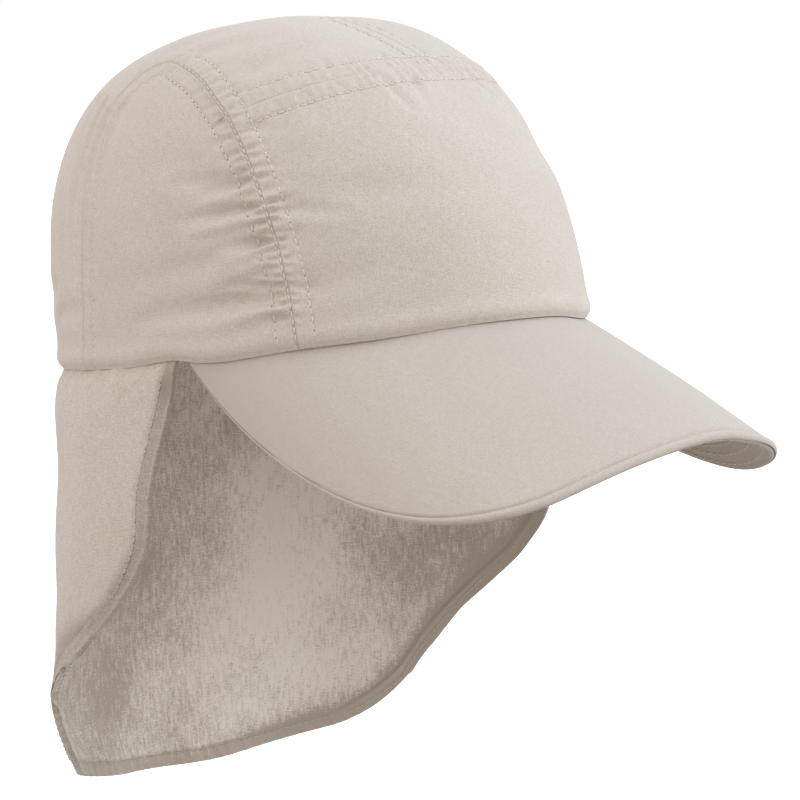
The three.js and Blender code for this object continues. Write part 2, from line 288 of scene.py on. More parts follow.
def facing_on_chart(place):
    step = 0.004
    sideways = np.array([step, 0.0])
    backward = np.array([0.0, step])
    run = form_on_chart(place + sideways) - form_on_chart(place - sideways)
    climb = form_on_chart(place + backward) - form_on_chart(place - backward)
    facing = np.cross(run, climb)
    return facing / np.linalg.norm(facing, axis=-1, keepdims=True)


def chart_of_point(point):
    """Where a point near the crown lies on the chart."""
    sideways = point[..., 0] / opening_half_width
    forward = -point[..., 1] / opening_half_length
    upward = np.maximum(point[..., 2] / crown_height, 0.0)
    angle = np.degrees(np.arctan2(sideways, forward))
    rise = np.degrees(np.arctan2(upward, np.hypot(sideways, forward))) / 90.0
    return chart(angle, rise)


def bearing(points):
    """Angle from the front, as seen from above."""
    across = points[..., 0] / opening_half_width
    return np.degrees(np.arctan2(across, -points[..., 1] / opening_half_length))


def tipped(points):
    """Tips the level crown back to the way it sits on the head."""
    pitch = math.radians(crown_pitch)
    turned = points.copy()
    turned[..., 1] = points[..., 1] * math.cos(pitch) + points[..., 2] * math.sin(pitch)
    turned[..., 2] = points[..., 2] * math.cos(pitch) - points[..., 1] * math.sin(pitch)
    return turned


def along_rows(rows):
    """A seam from its table, as a function of the share of the way along it."""
    shared = [dict(row, share=i / (len(rows) - 1)) for i, row in enumerate(rows)]
    angle = smooth_column(shared, "share", "angle")
    rise = smooth_column(shared, "share", "rise")
    return lambda share, side: chart(side * angle(share), rise(share))


front_edge = along_rows(side_front_seam)
arch_edge = along_rows(side_top_seam)
rear_edge = along_rows(side_back_seam)
brow_edge = along_rows(top_front_seam)
brow_middle_rise = top_front_seam[-1]["rise"]


def middle_edge(share):
    """The middle seam from the front panel over the top to the back of the opening."""
    share = np.asarray(share, float)
    front = -(1.0 - brow_middle_rise)
    return np.stack([np.zeros_like(share), front + (1.0 - front) * share], -1)


def length_along(points):
    """How far along a line each of its points lies."""
    steps = np.linalg.norm(np.diff(points, axis=0), axis=1)
    return np.concatenate([[0.0], np.cumsum(steps)])


def plain_line(points):
    """A line that has no sides, as for a fold or the flap's free edge."""
    return {"points": points, "along": length_along(points), "beside": np.zeros_like(points)}


def seam_line(places, count):
    """A seam as a line of points on the level crown, with its length measured along it."""
    points = form_on_chart(places(np.linspace(0.0, 1.0, count)))
    heading = np.gradient(points, axis=0)
    heading /= np.linalg.norm(heading, axis=1, keepdims=True)
    outward = facing_on_chart(chart_of_point(points))
    beside = np.cross(outward, heading)
    return {"points": points, "along": length_along(points), "beside": beside}


def from_line(points, line):
    """Distance from a line, signed by its side, and how far along it the nearest place is."""
    flat = points.reshape(-1, 3)
    knots = line["points"]
    gap = np.empty(len(flat))
    along = np.empty(len(flat))
    for start in range(0, len(flat), 4000):
        block = flat[start : start + 4000]
        squared = ((block[:, None, :] - knots[None, :, :]) ** 2).sum(-1)
        nearest = squared.argmin(1)
        index = np.clip(nearest, 1, len(knots) - 2)
        best = np.full(len(block), 1e9)
        place = np.zeros(len(block))
        for first in (index - 1, index):
            run = knots[first + 1] - knots[first]
            share = ((block - knots[first]) * run).sum(1) / (run * run).sum(1)
            share = np.clip(share, 0.0, 1.0)
            foot = knots[first] + run * share[:, None]
            distance = np.linalg.norm(block - foot, axis=1)
            closer = distance < best
            best = np.where(closer, distance, best)
            here = line["along"][first] + share * (line["along"][first + 1] - line["along"][first])
            place = np.where(closer, here, place)
        offset = ((block - knots[nearest]) * line["beside"][nearest]).sum(1)
        gap[start : start + 4000] = best * np.where(offset < 0.0, -1.0, 1.0)
        along[start : start + 4000] = place
    return gap.reshape(points.shape[:-1]), along.reshape(points.shape[:-1])


def side_seam_places(side):
    def places(share):
        share = np.asarray(share, float)[:, None]
        third = np.clip(share[:, 0] * 3.0, 0.0, 3.0)
        rising = front_edge(np.clip(third, 0.0, 1.0), side)
        arching = arch_edge(np.clip(third - 1.0, 0.0, 1.0), side)
        falling = rear_edge(np.clip(3.0 - third, 0.0, 1.0), side)
        return np.where(share < 1 / 3, rising, np.where(share < 2 / 3, arching, falling))

    return places


def brow_places(share):
    share = np.asarray(share, float)
    side = np.where(share < 0.5, -1.0, 1.0)
    return brow_edge(1.0 - np.abs(2.0 * share - 1.0), side)


seams = {
    "right": seam_line(side_seam_places(-1.0), 240),
    "left": seam_line(side_seam_places(1.0), 240),
    "brow": seam_line(brow_places, 160),
    "middle": seam_line(middle_edge, 200),
}

# Soft folds that run out from the side seams, from place to place on the crown.
soft_folds = table(
    "from_angle from_rise to_angle to_rise wide deep",
    (69.2, 0.311, 84.0, 0.318, 2.6, 1.2),
    (67.9, 0.264, 84.0, 0.252, 2.6, 1.35),
    (66.1, 0.206, 79.0, 0.216, 2.2, 1.2),
    (65.0, 0.147, 76.0, 0.131, 2.0, 1.2),
    (64.6, 0.112, 96.0, 0.080, 3.0, 1.7),
    (63.7, 0.060, 74.0, 0.048, 2.2, 0.7),
    (78.0, 0.175, 104.0, 0.150, 4.2, 0.8),
    (80.0, 0.345, 100.0, 0.360, 4.6, 0.5),
    (60.2, 0.252, 49.0, 0.236, 2.4, 0.9),
    (66.0, 0.402, 58.0, 0.390, 2.6, 0.4),
    (58.5, 0.345, 44.0, 0.335, 4.0, 0.2),
    (58.5, 0.110, 38.0, 0.135, 4.5, 0.5),
    (28.5, 0.508, 25.5, 0.440, 2.0, 1.0),
    (17.0, 0.520, 18.5, 0.460, 1.9, 0.9),
    (22.0, 0.600, 24.0, 0.560, 1.8, 0.5),
    (54.0, 0.465, 50.5, 0.412, 2.4, 0.5),
    (66.0, 0.530, 50.0, 0.610, 4.0, 0.8),
    (84.0, 0.600, 60.0, 0.640, 4.2, 0.8),
    (100.0, 0.640, 60.0, 0.780, 5.5, 0.7),
    (111.0, 0.485, 112.5, 0.260, 1.5, -0.7),
    (116.0, 0.500, 117.0, 0.300, 2.0, 1.1),
    (122.0, 0.530, 120.0, 0.280, 1.7, -0.8),
    (104.0, 0.480, 107.0, 0.330, 2.2, 0.5),
    (128.0, 0.110, 110.0, 0.120, 3.2, 0.7),
    (131.0, 0.160, 150.0, 0.140, 4.0, 0.7),
)

# Short gathers that the stitching pulls up beside the seams: along the seam from its front end.
right_gathers = table(
    "along deep inner outer",
    (10.7, 0.8, 8.0, 2.0),
    (15.1, 1.15, 20.0, 2.0),
    (17.9, 0.95, 8.0, 2.0),
    (20.2, 0.5, 1.0, 8.0),
    (21.9, 1.1, 16.0, 2.0),
    (24.3, 0.9, 7.5, 2.0),
    (27.4, 0.4, 6.5, 2.0),
    (30.1, 0.55, 7.0, 4.0),
    (32.9, 0.6, 7.5, 2.0),
    (36.6, 1.2, 20.0, 3.0),
    (38.8, 0.4, 2.0, 7.0),
    (43.3, 1.1, 10.0, 2.0),
    (46.0, 0.8, 6.0, 6.5),
    (49.0, 1.15, 22.0, 8.5),
    (53.5, 0.4, 7.0, 5.0),
    (58.7, 0.9, 18.0, 4.0),
    (62.0, 0.4, 6.5, 8.0),
    (66.0, 0.35, 7.0, 6.0),
    (69.0, 0.6, 8.0, 6.0),
    (75.0, 0.5, 8.0, 7.0),
)
allowance = 6.4
allowance_lift = 0.3
row_groove_deep = 0.42
row_groove_wide = 0.8
gather_reach = 9.0
seam_influence = 26.0
fold_shoulder = 0.28
fold_fade = 0.75
rim_fold_lift = 0.75
rim_fold_sink = 1.1
chance = np.random.default_rng(7)


def chance_gathers(first, last, pitch, deep, reach):
    rows = []
    at = first + pitch * chance.random()
    while at < last:
        size = 0.45 + 0.9 * chance.random()
        rows.append(
            {
                "along": at,
                "deep": deep * size,
                "inner": reach * (0.7 + 0.6 * chance.random()),
                "outer": reach * (0.7 + 0.6 * chance.random()),
            }
        )
        at += pitch * (0.65 + 0.7 * chance.random())
    return rows


side_length = seams["right"]["along"][-1]
brow_length = seams["brow"]["along"][-1]
middle_length = seams["middle"]["along"][-1]
seam_gathers = {
    "right": right_gathers
    + chance_gathers(79.0, 122.0, 3.9, 0.3, 6.6)
    + chance_gathers(122.0, side_length - 8.0, 6.0, 0.14, 6.6),
    "left": chance_gathers(8.0, 122.0, 3.6, 0.6, 8.5)
    + chance_gathers(122.0, side_length - 8.0, 6.0, 0.14, 6.6),
    "brow": chance_gathers(5.0, brow_length - 5.0, 2.9, 0.34, 7.0),
    "middle": chance_gathers(4.0, middle_length - 6.0, 4.4, 0.2, 6.5),
}
seam_creases = {"right": 0.65, "left": 0.65, "brow": 0.25, "middle": 0.3}
fold_lines = []
for side in (-1.0, 1.0):
    for row in soft_folds:
        sway = 0.0 if side < 0.0 else 0.012 * math.sin(9.0 * row["from_rise"] + row["wide"])
        shares = np.linspace(0.0, 1.0, 12)
        angle = row["from_angle"] + (row["to_angle"] - row["from_angle"]) * shares
        rise = row["from_rise"] + (row["to_rise"] - row["from_rise"]) * shares + sway
        points = crown_form(side * angle, rise)
        deep = row["deep"] * (1.15 if side < 0.0 else 0.85)
        fold_lines.append({**plain_line(points), "wide": row["wide"], "deep": deep})


def soft_waves(points, count, length, height, seed):
    """Uneven lie of loose cloth, as a few long waves crossing each other."""
    drawn = np.random.default_rng(seed)
    total = np.zeros(points.shape[:-1])
    for _ in range(count):
        way = drawn.normal(size=3)
        way /= np.linalg.norm(way)
        pitch = length * (0.6 + 0.8 * drawn.random())
        total += np.sin(points @ way * (2.0 * math.pi / pitch) + 6.283 * drawn.random())
    return total * height / math.sqrt(count)


def pleat(across, wide):
    """A small valley with a soft ridge on each side."""
    ridge = np.exp(-(((np.abs(across) - 2.0 * wide) / (1.1 * wide)) ** 2))
    return 0.4 * ridge - np.exp(-((across / wide) ** 2))


def seam_relief(gap, along, gathers, crease, tilt):
    """How seam, pressed allowance, stitch row and gathers lift or sink the cloth."""
    near = np.abs(gap)
    band = 1.0 / (1.0 + np.exp((near - allowance - 0.5) * 2.4))
    relief = allowance_lift * band - crease * np.exp(-((near / 0.45) ** 2))
    relief += 0.3 * crease * np.exp(-(((gap - 1.05) / 0.5) ** 2))
    relief -= row_groove_deep * np.exp(-(((near - allowance) / row_groove_wide) ** 2))
    start = 1.0 - np.exp(-((near / 1.1) ** 2))
    for row in gathers:
        close = np.abs(along - row["along"]) < gather_reach
        here, beside = near[close], along[close] - row["along"]
        reach = np.where(gap[close] > 0.0, row["inner"], row["outer"])
        fade = start[close] / (1.0 + np.exp((here - reach) / (0.4 + 0.16 * reach)))
        bent = beside - tilt * gap[close] - 0.07 * here * math.sin(1.7 * row["along"])
        deep = row["deep"] * (1.0 + 0.45 * np.exp(-((here / 7.5) ** 2)))
        relief[close] += deep * pleat(bent, 0.72 + 0.08 * here) * fade
    return relief


def crown_relief(points):
    """Lift of the crown's cloth by loose waves, seams with their gathers, folds and the rim."""
    relief = soft_waves(points, 14, 46.0, 0.22, 3)
    for name, line in seams.items():
        gap, along = from_line(points, line)
        inside = gap if name in ("right", "left") else -gap
        sign = -1.0 if name == "left" else 1.0
        near = np.abs(gap) < seam_influence
        behind = np.clip((along[near] - 115.0) / 40.0, 0.0, 1.0) * (name != "brow")
        crease = seam_creases[name] * (1.0 - 0.45 * behind)
        tilt = 0.16 if name == "right" else 0.0
        gathers = seam_gathers[name]
        sunk = seam_relief(sign * inside[near], along[near], gathers, crease, tilt)
        reach = np.clip((along[near] - 0.5) / 2.5, 0.0, 1.0)
        reach = reach * np.clip((line["along"][-1] - 0.5 - along[near]) / 2.5, 0.0, 1.0)
        relief[near] += sunk * (reach if name in ("brow", "middle") else 1.0)
    for line in fold_lines:
        gap, along = from_line(points, line)
        fade = 1.0 - fold_fade * along / line["along"][-1]
        relief -= line["deep"] * np.exp(-((gap / line["wide"]) ** 2)) * fade
        shoulder = np.exp(-(((np.abs(gap) - 1.9 * line["wide"]) / line["wide"]) ** 2))
        relief += fold_shoulder * line["deep"] * shoulder * fade
    low = np.maximum(points[..., 2] - rim_lift(bearing(points)), 0.0)
    relief += rim_fold_lift * np.exp(-(((low - 4.2) / 3.0) ** 2))
    relief -= rim_fold_sink * np.exp(-((low / 1.3) ** 2))
    return relief


def patch(low, high, start, end, u, v):
    """Fills the space between four edges, each given as places on the chart."""
    u2, v2 = u[:, None, None], v[None, :, None]
    low_u, high_u = low(u)[:, None, :], high(u)[:, None, :]
    start_v, end_v = start(v)[None, :, :], end(v)[None, :, :]
    zero, one = np.zeros(1), np.ones(1)
    corner = (
        (1 - u2) * (1 - v2) * low(zero)[:, None, :]
        + u2 * (1 - v2) * low(one)[:, None, :]
        + (1 - u2) * v2 * high(zero)[:, None, :]
        + u2 * v2 * high(one)[:, None, :]
    )
    return (1 - v2) * low_u + v2 * high_u + (1 - u2) * start_v + u2 * end_v - corner


def fine_shares(length, margin_step, open_step, fine_start, fine_end):
    """Shares across a panel, closer together at a seam so that its crease stays crisp."""
    crease = np.array([0.0, 0.2, 0.42, 0.68, 1.0, 1.4, 1.9, 2.5])
    margin = np.concatenate([crease, np.arange(2.5 + margin_step, 14.0, margin_step)])
    low = margin if fine_start else np.array([0.0])
    high = margin if fine_end else np.array([0.0])
    count = max(int((length - low[-1] - high[-1]) / open_step), 2)
    middle = np.linspace(low[-1], length - high[-1], count + 1)
    return np.concatenate([low[:-1], middle, length - high[:-1][::-1]]) / length


def sheet_mesh(name, outer, inner, cloth_u, cloth_v, materials, shades=None):
    """One closed sheet of cloth from its two faces, with a material and a shade for each."""
    columns, rows = outer.shape[:2]
    points = np.concatenate([outer.reshape(-1, 3), inner.reshape(-1, 3)]) * 0.001
    index = np.arange(columns * rows).reshape(columns, rows)
    a, b = index[:-1, :-1].ravel(), index[1:, :-1].ravel()
    c, d = index[1:, 1:].ravel(), index[:-1, 1:].ravel()
    layer = columns * rows
    front = np.stack([a, b, c, d], 1)
    behind = np.stack([d, c, b, a], 1) + layer
    loop = np.concatenate([index[:, 0], index[-1, 1:], index[-2::-1, -1], index[0, -2:0:-1]])
    after = np.roll(loop, -1)
    rim = np.stack([after, loop, loop + layer, after + layer], 1)
    faces = np.concatenate([front, behind, rim])
    mesh = bpy.data.meshes.new(name)
    mesh.from_pydata(points.tolist(), [], faces.tolist())
    weave_u, weave_v = np.broadcast_arrays(cloth_u, cloth_v)
    flat = np.stack([weave_u.ravel(), weave_v.ravel()], 1) * 0.1
    flat = np.concatenate([flat, flat])
    loops = np.empty(len(mesh.loops), np.int32)
    mesh.loops.foreach_get("vertex_index", loops)
    weave = mesh.uv_layers.new(name="weave")
    weave.uv.foreach_set("vector", flat[loops].ravel().astype(np.float32))
    if shades is not None:
        shade = mesh.attributes.new("shade", "FLOAT", "POINT")
        both = np.concatenate([part.ravel() for part in shades]).astype(np.float32)
        shade.data.foreach_set("value", both)
    for material in materials:
        mesh.materials.append(material)
    slots = np.zeros(len(faces), np.int32)
    slots[len(front) : len(front) + len(behind)] = len(materials) - 1
    mesh.polygons.foreach_set("material_index", slots)
    mesh.polygons.foreach_set("use_smooth", np.ones(len(faces), bool))
    mesh.set_sharp_from_angle(angle=math.radians(52.0))
    piece = bpy.data.objects.new(name, mesh)
    bpy.context.collection.objects.link(piece)
    return piece


# The woven look is one node group that every cloth of the cap uses with its own values.
weave_look = bpy.data.node_groups.new("cotton_weave", "ShaderNodeTree")


def group_socket(name, kind, way, value=None):
    socket = weave_look.interface.new_socket(name, in_out=way, socket_type=kind)
    if value is not None:
        socket.default_value = value


group_socket("Place", "NodeSocketVector", "INPUT")
group_socket("Cloth Colour", "NodeSocketColor", "INPUT", (0.6, 0.5, 0.4, 1.0))
group_socket("Deep Colour", "NodeSocketColor", "INPUT", (0.5, 0.4, 0.3, 1.0))
group_socket("Yarn", "NodeSocketFloat", "INPUT", 0.5)
group_socket("Streak", "NodeSocketFloat", "INPUT", 0.3)
group_socket("Cloud", "NodeSocketFloat", "INPUT", 0.3)
group_socket("Shade", "NodeSocketFloat", "INPUT", 0.0)
group_socket("Colour", "NodeSocketColor", "OUTPUT")
group_socket("Height", "NodeSocketFloat", "OUTPUT")


def add_node(tree, kind, **settings):
    node = tree.nodes.new(kind)
    for name, value in settings.items():
        setattr(node, name, value)
    return node


def weave_math(operation, first, second):
    node = add_node(weave_look, "ShaderNodeMath", operation=operation)
    for slot, value in enumerate((first, second)):
        if isinstance(value, (int, float)):
            node.inputs[slot].default_value = value
        else:
            weave_look.links.new(value, node.inputs[slot])
    return node.outputs[0]


def stretched_noise(scale_across, scale_down, detail):
    """Soft noise that is drawn out along the cloth or across it."""
    mapping = add_node(weave_look, "ShaderNodeMapping")
    mapping.inputs["Scale"].default_value = (scale_across, scale_down, 1.0)
    noise = add_node(weave_look, "ShaderNodeTexNoise")
    noise.inputs["Scale"].default_value = 1.0
    noise.inputs["Detail"].default_value = detail
    noise.inputs["Roughness"].default_value = 0.6
    weave_look.links.new(place, mapping.inputs["Vector"])
    weave_look.links.new(mapping.outputs["Vector"], noise.inputs["Vector"])
    return noise.outputs["Fac"]


inside = add_node(weave_look, "NodeGroupInput")
outside = add_node(weave_look, "NodeGroupOutput")
place = inside.outputs["Place"]
warp = stretched_noise(26.0, 3.2, 2.0)
weft = stretched_noise(3.2, 26.0, 2.0)
grain = stretched_noise(17.0, 17.0, 1.0)
streak = stretched_noise(7.5, 1.3, 4.0)
cloud = stretched_noise(0.55, 0.4, 4.0)
threads = weave_math("ADD", warp, weft)
yarns = weave_math("ADD", threads, grain)
yarn_mark = weave_math("SUBTRACT", yarns, 1.5)
streak_mark = weave_math("SUBTRACT", streak, 0.5)
cloud_mark = weave_math("SUBTRACT", cloud, 0.5)
yarn_part = weave_math("MULTIPLY", yarn_mark, inside.outputs["Yarn"])
streak_part = weave_math("MULTIPLY", streak_mark, inside.outputs["Streak"])
cloud_part = weave_math("MULTIPLY", cloud_mark, inside.outputs["Cloud"])
first_sum = weave_math("ADD", yarn_part, streak_part)
second_sum = weave_math("ADD", first_sum, cloud_part)
shaded = weave_math("ADD", inside.outputs["Shade"], 0.35)
share_deep = weave_math("SUBTRACT", shaded, second_sum)
clamped = add_node(weave_look, "ShaderNodeClamp")
weave_look.links.new(share_deep, clamped.inputs["Value"])
mixed = add_node(weave_look, "ShaderNodeMix", data_type="RGBA")
weave_look.links.new(clamped.outputs["Result"], mixed.inputs["Factor"])
weave_look.links.new(inside.outputs["Cloth Colour"], mixed.inputs["A"])
weave_look.links.new(inside.outputs["Deep Colour"], mixed.inputs["B"])
weave_look.links.new(mixed.outputs["Result"], outside.inputs["Colour"])
weave_look.links.new(yarns, outside.inputs["Height"])


def straight(colour):
    """A screen colour as the straight values that a shader needs."""
    return tuple(
        c / 255 / 12.92 if c <= 10.3 else ((c / 255 + 0.055) / 1.055) ** 2.4 for c in colour
    ) + (1.0,)


def cotton(name, cloth_colour, deep_colour, yarn, streak_share, cloud_share, relief):
    material = bpy.data.materials.new(name)
    material.use_nodes = True
    tree = material.node_tree
    shader = tree.nodes["Principled BSDF"]
    shader.inputs["Roughness"].default_value = 0.92
    shader.inputs["Specular IOR Level"].default_value = 0.25
    shader.inputs["Sheen Weight"].default_value = 0.3
    shader.inputs["Sheen Roughness"].default_value = 0.45
    laid = add_node(tree, "ShaderNodeUVMap", uv_map="weave")
    look = add_node(tree, "ShaderNodeGroup", node_tree=weave_look)
    look.inputs["Cloth Colour"].default_value = straight(cloth_colour)
    look.inputs["Deep Colour"].default_value = straight(deep_colour)
    look.inputs["Yarn"].default_value = yarn
    look.inputs["Streak"].default_value = streak_share
    look.inputs["Cloud"].default_value = cloud_share
    shade = add_node(tree, "ShaderNodeAttribute", attribute_name="shade")
    tree.links.new(shade.outputs["Fac"], look.inputs["Shade"])
    bump = add_node(tree, "ShaderNodeBump")
    bump.inputs["Strength"].default_value = relief
    bump.inputs["Distance"].default_value = 0.0002
    tree.links.new(laid.outputs["UV"], look.inputs["Place"])
    tree.links.new(look.outputs["Colour"], shader.inputs["Base Color"])
    tree.links.new(look.outputs["Height"], bump.inputs["Height"])
    tree.links.new(bump.outputs["Normal"], shader.inputs["Normal"])
    return material


crown_cloth = cotton("crown_cloth", (214, 203, 192), (188, 175, 162), 1.2, 0.2, 0.3, 0.65)


def crown_panel(name, low, high, start, end, across_step, up_step):
    """Sews one panel: the cloth between four edges, with the relief of its seams and folds."""
    trial = np.linspace(0.0, 1.0, 24)
    rough = form_on_chart(patch(low, high, start, end, trial, trial))
    width = np.linalg.norm(np.diff(rough, axis=0), axis=-1).sum(0).max()
    height = np.linalg.norm(np.diff(rough, axis=1), axis=-1).sum(1).max()
    u = fine_shares(width, 0.9, across_step, True, True)
    v = fine_shares(height, up_step, up_step, False, True)
    u = seam_cut / width + u * (1.0 - 2.0 * seam_cut / width)
    v = v * (1.0 - seam_cut / height)
    places = patch(low, high, start, end, u, v)
    form = form_on_chart(places)
    facing = facing_on_chart(places)
    relief = crown_relief(form)
    outer = tipped(form + facing * relief[..., None])
    inner = tipped(form + facing * (0.35 * relief[..., None] - crown_wall))
    piece = sheet_mesh(name, outer, inner, u[:, None] * width, v[None, :] * height, [crown_cloth])
    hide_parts(name)
    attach(piece, "root")
    return piece


def opening_edge(first_angle, last_angle):
    return lambda share: chart(first_angle + (last_angle - first_angle) * share, 0.0 * share)


front_low = opening_edge(-side_front_seam[0]["angle"], side_front_seam[0]["angle"])
crown_panel(
    "crown_front_panel",
    front_low,
    brow_places,
    lambda share: front_edge(share, -1.0),
    lambda share: front_edge(share, 1.0),
    1.1,
    0.55,
)

for side, name in ((1.0, "left"), (-1.0, "right")):
    front_angle = side * side_front_seam[0]["angle"]
    rear_angle = side * side_back_seam[0]["angle"]
    seam_at_front = lambda share, side=side: front_edge(share, side)
    seam_at_rear = lambda share, side=side: rear_edge(share, side)
    seam_over = lambda share, side=side: arch_edge(share if side > 0.0 else 1.0 - share, side)
    if side > 0.0:
        low, start, end = opening_edge(front_angle, rear_angle), seam_at_front, seam_at_rear
    else:
        low, start, end = opening_edge(rear_angle, front_angle), seam_at_rear, seam_at_front
    crown_panel("crown_side_panel_" + name, low, seam_over, start, end, 1.2, 0.5)

for side, name in ((1.0, "left"), (-1.0, "right")):

    def outer_edge(share, side=side):
        climb = np.clip(share * 2.0, 0.0, 1.0)
        ahead = np.clip(2.0 - share * 2.0, 0.0, 1.0)
        over = np.asarray(share)[..., None] > 0.5
        return np.where(over, arch_edge(ahead, side), rear_edge(climb, side))

    def inner_edge(share):
        return middle_edge(1.0 - share)

    rear_angle = side_back_seam[0]["angle"]
    if side > 0.0:
        low = opening_edge(rear_angle, 180.0)
        high = lambda share: brow_edge(share, 1.0)
        start, end = outer_edge, inner_edge
    else:
        low = opening_edge(-180.0, -rear_angle)
        high = lambda share: brow_edge(1.0 - share, -1.0)
        start, end = inner_edge, outer_edge
    crown_panel("crown_top_panel_" + name, low, high, start, end, 1.2, 0.62)

# Crown stitching
# Rows of plain lockstitch in a matching thread hold the pressed seam allowances down,
# one row on each side of every crown seam.
thread_thick = 0.5
stitch_length = 2.1
stitch_pitch = 2.6
needle_hole = 0.62
row_step = 0.5
seam_thread_thick = 0.44
seam_thread_proud = 0.66
back_row_proud = -0.1
front_rows_end = 118.0


def sewing_thread(name, colour):
    material = bpy.data.materials.new(name)
    material.use_nodes = True
    shader = material.node_tree.nodes["Principled BSDF"]
    shader.inputs["Base Color"].default_value = straight(colour)
    shader.inputs["Roughness"].default_value = 0.75
    return material


crown_thread = sewing_thread("crown_thread", (224, 214, 203))
needle_shade = sewing_thread("needle_shade", (122, 109, 97))
pale_needle_shade = sewing_thread("pale_needle_shade", (172, 160, 148))


def small_parts(name, points, faces, material, smooth):
    mesh = bpy.data.meshes.new(name)
    mesh.from_pydata(points.tolist(), [], faces)
    mesh.polygons.foreach_set("use_smooth", np.full(len(faces), smooth))
    mesh.materials.append(material)
    piece = bpy.data.objects.new(name, mesh)
    bpy.context.collection.objects.link(piece)
    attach(piece, "root")
    return piece


def stitches(name, rows, thick, material):
    """Every stitch of some rows as one mesh. A row is start and end points with the way up."""
    sides = 6
    arch = np.array([-0.55, 0.25, 0.5, 0.25, -0.55])
    swell = np.array([0.55, 0.95, 1.0, 0.95, 0.55])
    shares = np.array([0.0, 0.2, 0.5, 0.8, 1.0])
    ring = np.linspace(0.0, 2.0 * math.pi, sides, endpoint=False)
    starts = np.concatenate([row[0] for row in rows])
    ends = np.concatenate([row[1] for row in rows])
    ups = np.concatenate([row[2] for row in rows])
    heading = ends - starts
    heading /= np.linalg.norm(heading, axis=1, keepdims=True)
    beside = np.cross(heading, ups)
    beside /= np.linalg.norm(beside, axis=1, keepdims=True)
    above = np.cross(beside, heading)
    spine = starts[:, None, :] + (ends - starts)[:, None, :] * shares[None, :, None]
    spine = spine + above[:, None, :] * (arch * thick)[None, :, None]
    radius = 0.5 * thick * swell[None, :, None, None]
    around = (
        beside[:, None, None, :] * np.cos(ring)[None, None, :, None]
        + above[:, None, None, :] * np.sin(ring)[None, None, :, None] * 0.75
    )
    points = (spine[:, :, None, :] + around * radius).reshape(-1, 3) * 0.001
    pattern = []
    for level in range(len(shares) - 1):
        for corner in range(sides):
            a = level * sides + corner
            b = level * sides + (corner + 1) % sides
            pattern.append((a, b, b + sides, a + sides))
    pattern = np.array(pattern)
    block = len(shares) * sides
    offsets = np.arange(len(starts)) * block
    faces = (pattern[None, :, :] + offsets[:, None, None]).reshape(-1, 4).tolist()
    first_cap = list(range(sides))[::-1]
    last_cap = list(range(block - sides, block))
    for offset in offsets.tolist():
        faces.append([offset + corner for corner in first_cap])
        faces.append([offset + corner for corner in last_cap])
    return small_parts(name, points, faces, material, True)


def needle_holes(name, rows, material):
    """The painted shade in the small needle holes between the stitches of some rows, as shallow dark
    six sided domes.
    """
    ring = np.linspace(0.0, 2.0 * math.pi, 6, endpoint=False)
    gap = stitch_pitch - stitch_length
    middles, headings, ups = [], [], []
    for start, end, up in rows:
        heading = (end - start) / np.linalg.norm(end - start, axis=1, keepdims=True)
        middles.append(end + heading * 0.5 * gap)
        headings.append(heading)
        ups.append(up / np.linalg.norm(up, axis=1, keepdims=True))
    middle, heading, up = (np.concatenate(part) for part in (middles, headings, ups))
    beside = np.cross(heading, up)
    circle = heading[:, None, :] * np.cos(ring)[None, :, None] * 0.8
    circle = circle + beside[:, None, :] * np.sin(ring)[None, :, None]
    foot = middle[:, None, :] + circle * 0.5 * needle_hole - up[:, None, :] * 0.12
    cap = middle[:, None, :] + circle * 0.36 * needle_hole + up[:, None, :] * 0.1
    points = np.concatenate([foot, cap], 1).reshape(-1, 3) * 0.001
    faces = []
    for offset in range(0, len(middle) * 12, 12):
        for corner in range(6):
            here, after = offset + corner, offset + (corner + 1) % 6
            faces.append((here, after, after + 6, here + 6))
        faces.append(tuple(offset + 6 + corner for corner in range(6)))
        faces.append(tuple(offset + 5 - corner for corner in range(6)))
    return small_parts(name, points, faces, material, False)


def read_along(at, along, points):
    """The points that lie at the given lengths along a line."""
    return np.stack([np.interp(at, along, points[:, axis]) for axis in range(3)], 1)


def resampled(points, length):
    """Points along a line at even steps of a given length."""
    along = length_along(points)
    places = np.arange(0.5 * length, along[-1] - 0.5 * length, length)
    return read_along(places, along, points)


def crown_row(line, offset, first, last, proud=0.02):
    """A row of stitches at an even distance from a seam, lying on the cloth as it is sewn."""
    keep = (line["along"] >= first) & (line["along"] <= last)
    beside = line["points"][keep] + line["beside"][keep] * offset
    smooth = resampled(beside, row_step)
    count = int(len(smooth) * row_step / stitch_pitch)
    centres = (np.arange(count) + 0.5) * stitch_pitch / row_step
    steps = np.arange(len(smooth))
    sides = []
    for shift in (-0.5, 0.5):
        at = centres + shift * stitch_length / row_step
        point = read_along(at, steps, smooth)
        place = chart_of_point(point)
        form = form_on_chart(place)
        facing = facing_on_chart(place)
        lift = crown_relief(form) + proud
        sides.append((tipped(form + facing * lift[:, None]), tipped(facing)))
    return sides[0][0], sides[1][0], sides[0][1] + sides[1][1]


side_rows = []
back_rows = []
seam_threads = []
for name in ("right", "left"):
    for offset in (-allowance, allowance):
        side_rows.append(crown_row(seams[name], offset, 2.0, front_rows_end))
        back_end = side_length - 2.0
        back_rows.append(crown_row(seams[name], offset, front_rows_end, back_end, back_row_proud))
    seam_threads.append(crown_row(seams[name], 0.0, 2.0, front_rows_end, seam_thread_proud))
top_rows = []
for offset in (-allowance, allowance):
    top_rows.append(crown_row(seams["brow"], offset, 7.0, brow_length - 7.0))
    top_rows.append(crown_row(seams["middle"], offset, 7.0, middle_length - 2.0))
crown_rows = side_rows + back_rows + top_rows
stitches("crown_stitching", crown_rows, thread_thick, crown_thread)
stitches("crown_seam_threads", seam_threads, seam_thread_thick, crown_thread)
needle_holes("crown_side_needle_holes", side_rows, needle_shade)
needle_holes("crown_top_needle_holes", top_rows + back_rows, pale_needle_shade)

